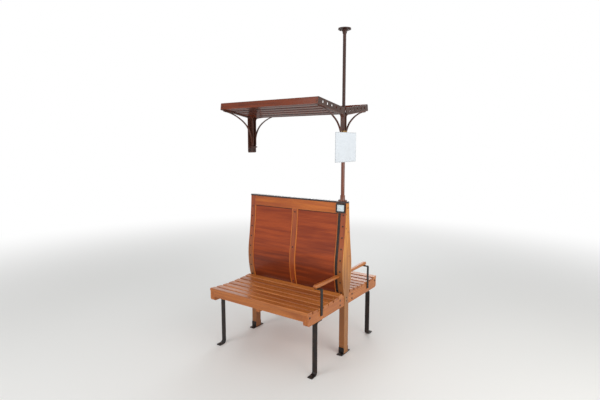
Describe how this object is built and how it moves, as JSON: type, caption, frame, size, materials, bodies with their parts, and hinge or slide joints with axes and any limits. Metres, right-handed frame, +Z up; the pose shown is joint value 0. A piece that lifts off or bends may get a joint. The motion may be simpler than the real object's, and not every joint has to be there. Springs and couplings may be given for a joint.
{
  "type": "railway carriage double bench with luggage rack",
  "caption": "Back-to-back wooden carriage bench with leaf-shaped ends, armrests, a steel post and a V-shaped slatted luggage rack above.",
  "frame": {"origin": "on the floor, under the middle of the bench, at the bottom centre of the bounding box", "axes": "+Z up; +X across the carriage towards the aisle, where the post and armrests are; Y along the carriage, with one seat on each side of Y = 0"},
  "size_m": [0.91, 1.02, 2.35],
  "materials": {
    "oak": "orange varnished hardwood with open grain and worn edges",
    "veneer": "reddish brown varnished veneer",
    "cap_gloss": "dark brown wood under high gloss varnish, polished by hands",
    "mahogany": "deep mahogany under thick gloss varnish",
    "brown_steel": "chocolate brown gloss enamel on steel, with brush marks",
    "black_iron": "black japanned iron, rubbed at the edges",
    "collar_brass": "aged brass, dull in the corners",
    "plate_enamel": "pale enamelled plate, blank",
    "notice_card": "pale laminated card, blank",
    "clamp_steel": "plain steel band"
  },
  "bodies": {
    "root": {"aisle_shoe": "black_iron", "aisle_upright": "oak", "back_cap": "cap_gloss", "bottom_rail": "oak", "ceiling_flange": "brown_steel", "collar": "collar_brass", "far_aisle_brace": "brown_steel", "far_aisle_bracket": "brown_steel", "far_aisle_leg": "black_iron", "far_aisle_panel": "veneer", "far_aisle_side_rail": "oak", "far_armrest": "oak", "far_armrest_iron": "black_iron", "far_bearer": "oak", "far_end_plate": "brown_steel", "far_front_rail": "oak", "far_number_plate": "plate_enamel", "far_outer_rail": "mahogany", "far_plate_frame": "black_iron", "far_rack_slats": "mahogany", "far_seat_slats": "oak", "far_strap": "black_iron", "far_wall_brace": "brown_steel", "far_wall_bracket": "brown_steel", "far_wall_leg": "black_iron", "far_wall_panel": "veneer", "far_wall_side_rail": "oak", "lower_post": "brown_steel", "mid_upright": "oak", "near_aisle_brace": "brown_steel", "near_aisle_bracket": "brown_steel", "near_aisle_leg": "black_iron", "near_aisle_panel": "veneer", "near_aisle_side_rail": "oak", "near_armrest": "oak", "near_armrest_iron": "black_iron", "near_bearer": "oak", "near_end_plate": "brown_steel", "near_front_rail": "oak", "near_number_plate": "plate_enamel", "near_outer_rail": "mahogany", "near_plate_frame": "black_iron", "near_rack_slats": "mahogany", "near_seat_slats": "oak", "near_strap": "black_iron", "near_wall_brace": "brown_steel", "near_wall_bracket": "brown_steel", "near_wall_leg": "black_iron", "near_wall_panel": "veneer", "near_wall_side_rail": "oak", "notice_clamps": "clamp_steel", "notice_panel": "notice_card", "post_cup": "brown_steel", "post_foot": "brown_steel", "top_rail": "oak", "upper_post": "brown_steel", "wall_plate": "brown_steel", "wall_shoe": "black_iron", "wall_upright": "oak"}
  },
  "joints": []
}
